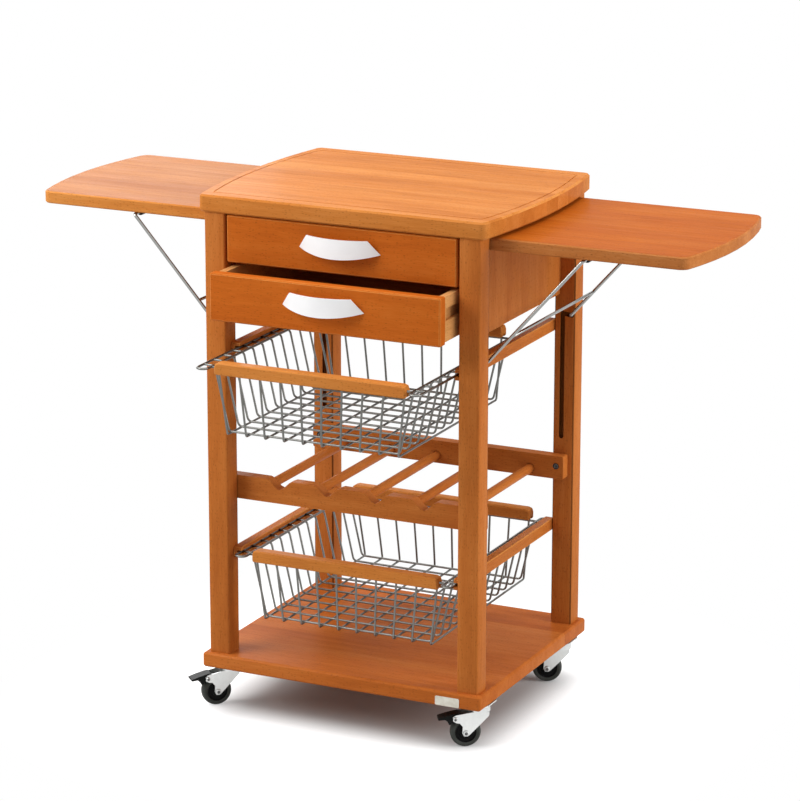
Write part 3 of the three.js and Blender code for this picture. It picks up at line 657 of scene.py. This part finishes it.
for level in LEVELS:
    drawer, basket = f"{level}_drawer", f"{level}_basket"
    board(f"{drawer}_front", f"{drawer}_face", 0.9, "front", "x")
    for side, _ in SIDES:
        rounded(
            f"{drawer}_side_{side}", f"{drawer}_wall_{side}", 0.8, [DRAWER_WOOD["y"]],
        )
    rounded(f"{drawer}_back", f"{drawer}_end", 0.8, [DRAWER_WOOD["x"]])
    rounded(f"{drawer}_bottom", f"{drawer}_floor", 0.4, [DRAWER_WOOD["x"]])
    for side, _ in SIDES:
        board(f"{basket}_rail_{side}", f"{basket}_runner_{side}", 0.8, "solid", "y")
    for end, _ in ENDS:
        board(f"{basket}_{end}_bar", f"{basket}_{end}_grip", 1.4, "bar", "x")

# ---------------------------------------------------------------- bottle rack
BOLT_X, BOLT_Z, BOLT_REACH = 219, 380, 5.6
DOWEL_REACH, DOWEL_R, DOWEL_Z, DOWEL_STEP = 162, 7.75, 371, 86
for end, _ in ENDS:
    rail = rounded(
        f"rack_rail_{end}", f"bottle_rail_{end}", 0.8, [beech("solid", "x"), DARK_STEEL]
    )
    paint_where(
        rail, 1, lambda x, y, z: math.hypot(abs(x) - BOLT_X, z - BOLT_Z) < BOLT_REACH
    )
for i in range(5):
    x = (i - 2) * DOWEL_STEP
    line = rod((x, -DOWEL_REACH, DOWEL_Z), (x, DOWEL_REACH, DOWEL_Z))
    tubes(
        f"bottle_dowel_{i + 1}", "frame", beech("solid", "y"),
        [(line, DOWEL_R, False)], (f"rack_dowel_{i + 1}",), sides=40,
    )

# ---------------------------------------------------------------- wire baskets
# In a basket's own frame: y from its home, z from its rims.
CROSS_WIRES, LONG_WIRES = 12, 10
WIRE_R, RIM_R, TIE_R = 1.75, 2.0, 1.9
CAD_WIRE = 3.6  # side of the solids' square wires
RIM_IN, RIM_OUT, TIP, LENGTH = 175.0, 193.5, 9.0, 407.0
FLOOR_HALF, FLOOR_FRONT, FLOOR_REAR = 149.0, 13.0, 384.5
FLOOR_Z = -106.0 + CAD_WIRE / 2
LONG_Z = FLOOR_Z - CAD_WIRE - 0.1
SHOULDER = 1.8  # how far inside the rim a cross wire turns down
FIRST_CROSS, LAST_CROSS = FLOOR_FRONT + 1.5 * CAD_WIRE, FLOOR_REAR - 3.5 * CAD_WIRE
BAR_Y = (10.0, 376.0)
BAR_MARGIN = 5  # from the bar's end to the outermost long wire
FAN = 1.08  # how much wider apart the long wires are at the bars than on the floor
FRONT_DROP, REAR_DROP, REAR_TOP = -12, -2, 7.9  # the long wires' bends and tips at the bars


def rim_loop(sx):
    """A long narrow loop that lies in a rail's groove."""
    corner = (RIM_OUT - RIM_IN) / 2
    middle = (RIM_OUT + RIM_IN) / 2
    steps = 12
    line = []
    for y, start in ((-TIP + corner, math.pi), (LENGTH - TIP - corner, 0.0)):
        for k in range(steps + 1):
            a = start + math.pi * k / steps
            line.append((sx * (middle + corner * math.cos(a)), y + corner * math.sin(a), 0.0))
    return line


for level in LEVELS:
    bar_low, bar_high = limits(f"{level}_basket_front_bar")
    home_y, rim_z = bar_low.y - SHIFT_Y, (bar_low.z + bar_high.z) / 2
    runs = [(rim_loop(sx), RIM_R, True) for _, sx in SIDES]
    for i in range(CROSS_WIRES):
        y = FIRST_CROSS + (LAST_CROSS - FIRST_CROSS) * i / (CROSS_WIRES - 1)
        arm = [(RIM_OUT, y, 0), (RIM_IN - SHOULDER, y, 0), (FLOOR_HALF, y, FLOOR_Z)]
        other = [(-x, y, z) for x, _, z in reversed(arm)]
        runs.append((bend(arm + other, 7), WIRE_R, False))
    for i in range(LONG_WIRES):
        x = -FLOOR_HALF + 2 * FLOOR_HALF * i / (LONG_WIRES - 1)
        outermost = i in (0, LONG_WIRES - 1)
        top = math.copysign(bar_high.x - BAR_MARGIN, x) if outermost else x * FAN
        corners = [
            (top, BAR_Y[0], 0), (top, BAR_Y[0], FRONT_DROP), (x, FLOOR_FRONT, LONG_Z),
            (x, FLOOR_REAR, LONG_Z), (top, BAR_Y[1], REAR_DROP), (top, BAR_Y[1], REAR_TOP),
        ]
        runs.append((bend(corners, 4, 5), WIRE_R, False))
    for y in BAR_Y:
        runs.append((rod((-RIM_IN, y, 0), (RIM_IN, y, 0)), TIE_R, False))
    placed = [([(p[0], p[1] + home_y, p[2] + rim_z) for p in line], r, c) for line, r, c in runs]
    tubes(
        f"{level}_basket_cage", f"{level}_basket", WIRE, placed,
        (f"{level}_basket_wires",),
    )

# ---------------------------------------------------------------- leaf stays
STAY_R, STAY_Y, TIP_Y = 2.75, 166.0, 171.6
BRACE_R, BRACE_AT = STAY_R * 0.9, 61.0  # along an arm, from its tip
BAR_X, BAR_Z, END_X, END_Z = 392.0, 811.5, 235.0, 635.0
share = BRACE_AT / math.hypot(BAR_X - END_X, BAR_Z - END_Z)
BRACE_X, BRACE_Z = END_X + (BAR_X - END_X) * share, END_Z + (BAR_Z - END_Z) * share
for side, sx in SIDES:
    corners = [
        (sx * END_X, -TIP_Y, END_Z), (sx * END_X, -STAY_Y, END_Z), (sx * BAR_X, -STAY_Y, BAR_Z),
        (sx * BAR_X, STAY_Y, BAR_Z), (sx * END_X, STAY_Y, END_Z), (sx * END_X, TIP_Y, END_Z),
    ]
    brace = rod((sx * BRACE_X, -STAY_Y, BRACE_Z), (sx * BRACE_X, STAY_Y, BRACE_Z))
    tubes(
        f"wire_stay_{side}", f"{side}_stay", CHROME,
        [(bend(corners, 5), STAY_R, False), (brace, BRACE_R, False)],
        (f"leaf_stay_{side}",), sides=20,
    )

# ---------------------------------------------------------------- drawer handles
HANDLE_HALF, HANDLE_TOP_HALF = 71.0, 53.5  # half widths, over all and of the straight top edge
HANDLE_DROP, HANDLE_HEIGHT = 22.4, 31.7  # from the top edge to the tips, and to the lowest point
HANDLE_BULGE, HANDLE_SHEET = 24.0, 2.5
POST_X, POST_R, POST_SINK = 32.0, 5.0, 0.6  # a post's sink is how far it goes into the sheet


def circle_through(half_chord, rise):
    """Radius of the arc over the chord that rises by rise."""
    return (half_chord ** 2 + rise ** 2) / (2 * rise)


def handle(level, top_z, face_y):
    """A crescent of bowed sheet on two posts."""
    bow = circle_through(HANDLE_HALF, HANDLE_BULGE)
    centre = face_y - HANDLE_BULGE + bow
    sag = circle_through(HANDLE_HALF, HANDLE_HEIGHT - HANDLE_DROP)
    tip_z = top_z - HANDLE_DROP
    slope = HANDLE_DROP / (HANDLE_HALF - HANDLE_TOP_HALF)
    columns, rows = 48, 10
    bm = bmesh.new()
    grid = []
    for i in range(columns + 1):
        # Closer columns toward the tips; 0.999 keeps the last ones from meeting in a point.
        x = HANDLE_HALF * math.sin(math.pi / 2 * (2 * i / columns - 1) * 0.999)
        top = top_z - slope * max(0.0, abs(x) - HANDLE_TOP_HALF)
        bottom = top_z - HANDLE_HEIGHT + sag - math.sqrt(sag ** 2 - x ** 2)
        y = centre - math.sqrt(bow ** 2 - x ** 2)
        grid.append([
            vertex(bm, x, y, bottom + (top - bottom) * k / rows) for k in range(rows + 1)
        ])
    for a, b in zip(grid, grid[1:]):
        for k in range(rows):
            bm.faces.new((a[k], b[k], b[k + 1], a[k + 1]))
    bmesh.ops.remove_doubles(bm, verts=bm.verts, dist=0.02 * MM)
    mesh = as_mesh(bm, f"{level}_handle_shell", outward=True)
    shell = finish_piece(
        f"{level}_handle_shell", mesh, f"{level}_drawer", [ALUMINIUM],
        (f"{level}_drawer_handle",),
    )
    thick = shell.modifiers.new("sheet", "SOLIDIFY")
    thick.thickness = HANDLE_SHEET * MM
    facing = mesh.polygons[len(mesh.polygons) // 2].normal.y
    thick.offset = -1 if facing < 0 else 1
    edge = shell.modifiers.new("edge", "BEVEL")
    edge.width, edge.segments, edge.limit_method = 0.7 * MM, 3, "ANGLE"
    edge.angle_limit = math.radians(40)
    edge.harden_normals = True
    smooth(mesh, 40)

    runs = []
    for x in (-POST_X, POST_X):
        y = centre - math.sqrt((bow - HANDLE_SHEET) ** 2 - x ** 2) - POST_SINK
        runs.append((rod((x, y, tip_z), (x, face_y, tip_z)), POST_R, False))
    tubes(f"{level}_handle_posts", f"{level}_drawer", ALUMINIUM, runs, sides=24)


for level in LEVELS:
    top_z = limits(f"{level}_drawer_handle")[1].z
    face_y = limits(f"{level}_drawer_front")[0].y - SHIFT_Y
    handle(level, top_z, face_y)

# ---------------------------------------------------------------- casters
HEADING = {"front_left": 225, "front_right": 211, "rear_left": 207, "rear_right": 203}
PIVOT_X, PIVOT_Y, TRAIL, WHEEL_R, AXLE_R = 227.2, 166.9, 23.4, 25.0, 3.3
BRAKE_AHEAD, BRAKE_Z, FORK_HALF = 40.8, 49.0, 12.5
AXLE_HEAD_R, BRAKE_HEAD_R = 4.8, 3.7

# Half a wheel's section from axle to tread: (radius, distance from the middle).
HUB_SECTION = (
    (AXLE_R, 9.0), (8.2, 9.0), (8.8, 8.6), (9.2, 7.0), (10.8, 6.0), (15.6, 6.4), (16.4, 8.0),
)
TYRE_SECTION = ((17.2, 8.4), (21.6, 8.6), (23.2, 7.6), (24.4, 5.6), (24.9, 3.2))
# The whole section: (radius, offset, material of the face from here to the next point).
RUBBER, PLASTIC = 0, 1
WHEEL = [
    *((r, -d, PLASTIC) for r, d in HUB_SECTION),
    *((r, -d, RUBBER) for r, d in TYRE_SECTION),
    (WHEEL_R, 0.0, RUBBER),
    *((r, d, RUBBER) for r, d in TYRE_SECTION[:0:-1]),
    *((r, d, PLASTIC) for r, d in (TYRE_SECTION[0], *HUB_SECTION[::-1])),
]
# A domed head over the solid's own: (share of its radius, height, material). It ends in the
# socket, whose faces take the blackened steel: painted shade in the recess.
METAL, SOCKET = 0, 1
BOLT_HEAD = [
    (1.0, 0.1, METAL), (1.0, 1.5, METAL), (0.93, 2.25, METAL), (0.78, 2.7, METAL),
    (0.56, 2.85, SOCKET), (0.50, 2.6, SOCKET), (0.48, 2.1, SOCKET), (0.02, 2.1, SOCKET),
    (0.02, 0.1, SOCKET),
]


def lathe(name, body, profile, materials, middle, heading, replaced=(), steps=64):
    """Turns the profile about an axle that lies square to the heading, in radians."""
    axis = Vector((-math.sin(heading), math.cos(heading), 0))
    forward = Vector((math.cos(heading), math.sin(heading), 0))
    centre = Vector((middle.x, middle.y + SHIFT_Y, middle.z))
    bm = bmesh.new()
    rings = []
    for radius, offset, _ in profile:
        ring = []
        for k in range(steps):
            a = 2 * math.pi * k / steps
            forth = forward * (radius * math.cos(a))
            rise = Vector((0, 0, radius * math.sin(a)))
            ring.append(bm.verts.new((centre + axis * offset + forth + rise) * MM))
        rings.append(ring)
    for (_, _, material), a, b in zip(profile, rings, rings[1:] + rings[:1]):
        for k in range(steps):
            face = bm.faces.new((a[k], b[k], b[(k + 1) % steps], a[(k + 1) % steps]))
            face.material_index = material
    mesh = as_mesh(bm, name, outward=True)
    indices = [p.material_index for p in mesh.polygons]
    piece = finish_piece(name, mesh, body, materials, replaced)
    mesh.polygons.foreach_set("material_index", indices)  # finish_piece sets them all to 0
    smooth(mesh, 32)
    return piece


for end, sy in ENDS:
    for side, sx in SIDES:
        at = f"{end}_{side}"
        heading = math.radians(HEADING[at])
        ahead = Vector((math.cos(heading), math.sin(heading), 0))
        pivot = Vector((sx * PIVOT_X, sy * PIVOT_Y, 0))
        axle = pivot + ahead * TRAIL + Vector((0, 0, WHEEL_R))
        lathe(
            f"wheel_{at}_tyre", f"wheel_{at}", WHEEL, [TYRE, HUB],
            axle, heading, (f"caster_wheel_{at}",),
        )
        bolts = [(axle, AXLE_HEAD_R)]
        if end == "front":
            bolts.append((pivot + ahead * BRAKE_AHEAD + Vector((0, 0, BRAKE_Z)), BRAKE_HEAD_R))
        for number, (point, head) in enumerate(bolts):
            for where, way in (("in", -1), ("out", 1)):
                lathe(
                    f"bolt_head_{at}_{number}_{where}", f"caster_{at}",
                    [(share * head, way * rise, material) for share, rise, material in BOLT_HEAD],
                    [ZINC, DARK_STEEL],
                    point + Vector((-ahead.y, ahead.x, 0)) * (way * FORK_HALF), heading, steps=24,
                )
        rounded(f"caster_fork_{at}", f"fork_{at}", 0.5, [ZINC], segments=2)
        rounded(f"caster_plate_{at}", f"mounting_plate_{at}", 0.5, [ZINC], segments=2)
        if end == "front":
            rounded(f"brake_lever_{at}", f"brake_pedal_{at}", 1.1, [BLACK])
        pin = frame["nodes"][f"leaf_pin_{at}"]
        pin.data.materials.clear()
        pin.data.materials.append(ZINC)

# ---------------------------------------------------------------- plate on the base board's edge
PLATE_X, PLATE_Z, PLATE_Y = (171.5, 213.5), (76.8, 92.2), -217.5
PLATE_THICK, PLATE_CORNER, PLATE_EASE = 0.5, 1.2, 0.12


def plate():
    """A plate with round corners, left bare."""
    bm = bmesh.new()
    bmesh.ops.create_cube(bm, size=1.0)
    size = (PLATE_X[1] - PLATE_X[0], PLATE_THICK, PLATE_Z[1] - PLATE_Z[0])
    bmesh.ops.scale(bm, vec=Vector(size) * MM, verts=bm.verts)
    upright = [
        e for e in bm.edges if abs((e.verts[0].co - e.verts[1].co).normalized().y) > 0.9
    ]
    bmesh.ops.bevel(bm, geom=upright, offset=PLATE_CORNER * MM, segments=4, affect="EDGES")
    rim = [e for e in bm.edges if e.calc_face_angle(0) > 0.8]
    bmesh.ops.bevel(bm, geom=rim, offset=PLATE_EASE * MM, segments=2, affect="EDGES")
    middle = (sum(PLATE_X) / 2, PLATE_Y + SHIFT_Y - PLATE_THICK / 2, sum(PLATE_Z) / 2)
    bmesh.ops.translate(bm, verts=bm.verts, vec=Vector(middle) * MM)
    mesh = as_mesh(bm, "bare_plate")
    finish_piece("bare_plate", mesh, "frame", [foil()])
    smooth(mesh)


plate()

# ---------------------------------------------------------------- floor
WHITE = (1, 1, 1, 1)
FLOOR_HALF_SIZE = 9.0
FLOOR_TONES = (0.52, 0.53)
SHADE_HALF = (0.18, 0.155)  # half size of the ground under the base board, in full shadow
LIFT, LIFT_RISE = 0.86, 0.12  # light added to what is seen past that, full after LIFT_RISE
WHITE_FROM, WHITE_AT = 0.10, 0.45  # from here the seen floor turns to white, plain after WHITE_AT


def floor():
    """A pale floor that holds the contact shadow and is seen as white further out."""
    bm = bmesh.new()
    bmesh.ops.create_grid(bm, x_segments=1, y_segments=1, size=FLOOR_HALF_SIZE)
    mesh = as_mesh(bm, "floor")
    t = Tree("pale_floor")
    place = t.place()
    grain = t.noise(place, scale=3.0, detail=2.0)
    tone = t.ramp(grain, [(at, (grey,) * 3) for at, grey in zip((0.3, 0.7), FLOOR_TONES)])
    diffuse = t.add("BsdfDiffuse", {"Color": tone})
    path = t.add("LightPath")
    seen = t.math("MAXIMUM", path.outputs["Is Camera Ray"], path.outputs["Is Glossy Ray"])
    seen = t.math("MAXIMUM", seen, path.outputs["Is Transmission Ray"])
    centred = t.vector("SUBTRACT", place, (0.0, SHIFT_Y * MM, 0.0))
    flat = t.vector("MULTIPLY", centred, (1.0, 1.0, 0.0))
    past = t.vector("SUBTRACT", t.vector("ABSOLUTE", flat), (*SHADE_HALF, 0.0))
    beyond = t.vector("MAXIMUM", past, (0.0, 0.0, 0.0))
    away = t.vector("LENGTH", beyond).outputs["Value"]

    def fade(low, high, strength):
        step = t.span(away, low, high, 0.0, strength, interpolation="SMOOTHSTEP")
        return t.math("MULTIPLY", seen, step)

    lift = t.add("Emission", {"Color": WHITE, "Strength": fade(0.0, LIFT_RISE, LIFT)})
    near = t.add("AddShader", {0: diffuse, 1: lift})
    white = t.add("Emission", {"Color": WHITE, "Strength": 1.0})
    lit = t.add("MixShader", {0: fade(WHITE_FROM, WHITE_AT, 1.0), 1: near, 2: white})
    t.links.new(lit.outputs[0], t.out.inputs[0])
    mesh.materials.append(t.material)
    ground = new_object("floor", mesh)


floor()

# ---------------------------------------------------------------- light
WORLD_LEVEL = 0.38
# Name, place, aim, size in metres, power in watts.
LAMPS = (
    ("overhead", (-0.3, 0.5, 5.0), (0, 0, 0.4), (4.2, 4.0), 152),
    ("back_left", (-2.75, 2.6, 1.75), (0, 0.2, 0.8), (2.3, 1.5), 38),
    ("front_fill", (-1.9, -1.7, 2.3), (0, 0, 0.5), (2.0, 1.8), 74),
    ("right_fill", (3.6, 0.6, 1.7), (0, 0, 0.5), (1.8, 2.2), 96),
)


def world():
    """Even grey light from all round, seen as white."""
    studio = bpy.data.worlds.new("studio")
    bpy.context.scene.world = studio
    studio.use_nodes = True
    nodes, links = studio.node_tree.nodes, studio.node_tree.links
    nodes.clear()
    out = nodes.new("ShaderNodeOutputWorld")
    path = nodes.new("ShaderNodeLightPath")
    final = nodes.new("ShaderNodeMixShader")
    for socket, level in ((1, WORLD_LEVEL), (2, 1.0)):
        light = nodes.new("ShaderNodeBackground")
        light.inputs[0].default_value = WHITE
        light.inputs[1].default_value = level
        links.new(light.outputs[0], final.inputs[socket])
    seen = path.outputs["Is Camera Ray"]
    for ray in ("Is Glossy Ray", "Is Transmission Ray"):
        pair = nodes.new("ShaderNodeMath")
        pair.operation = "MAXIMUM"
        links.new(seen, pair.inputs[0])
        links.new(path.outputs[ray], pair.inputs[1])
        seen = pair.outputs[0]
    links.new(seen, final.inputs[0])
    links.new(final.outputs[0], out.inputs[0])


def softbox(name, place, target, size, power):
    data = bpy.data.lights.new(name, "AREA")
    data.shape, data.size, data.size_y, data.energy = "RECTANGLE", size[0], size[1], power
    lamp = new_object(name, data)
    lamp.location = place
    lamp.rotation_mode = "QUATERNION"
    lamp.rotation_quaternion = (Vector(place) - Vector(target)).to_track_quat("Z", "Y")
    lamp.visible_camera = False


world()
for lamp in LAMPS:
    softbox(*lamp)

# ---------------------------------------------------------------- camera
AZIMUTH, ELEVATION, ROLL = math.radians(25.49), math.radians(15.37), math.radians(0.08)
CAMERA_X, CAMERA_Y, CAMERA_Z = 2.3537, -4.92578, 2.0052  # y in the drawing
SENSOR_WIDTH, FOCAL_PIXELS, IMAGE_PIXELS = 36.0, 3460.87, 800

data = bpy.data.cameras.new("photo_view")
data.sensor_fit, data.sensor_width = "HORIZONTAL", SENSOR_WIDTH
data.lens = SENSOR_WIDTH * FOCAL_PIXELS / IMAGE_PIXELS
data.clip_start, data.clip_end = 0.1, 60.0
camera = new_object("photo_view", data)
camera.location = (CAMERA_X, CAMERA_Y + SHIFT_Y * MM, CAMERA_Z)
back = Vector((
    math.sin(AZIMUTH) * math.cos(ELEVATION),
    -math.cos(AZIMUTH) * math.cos(ELEVATION),
    math.sin(ELEVATION),
))
roll = Matrix.Rotation(ROLL, 3, "Z").to_quaternion()
camera.rotation_mode = "QUATERNION"
camera.rotation_quaternion = back.to_track_quat("Z", "Y") @ roll
bpy.context.scene.camera = camera
bpy.context.scene.view_settings.view_transform = "Standard"
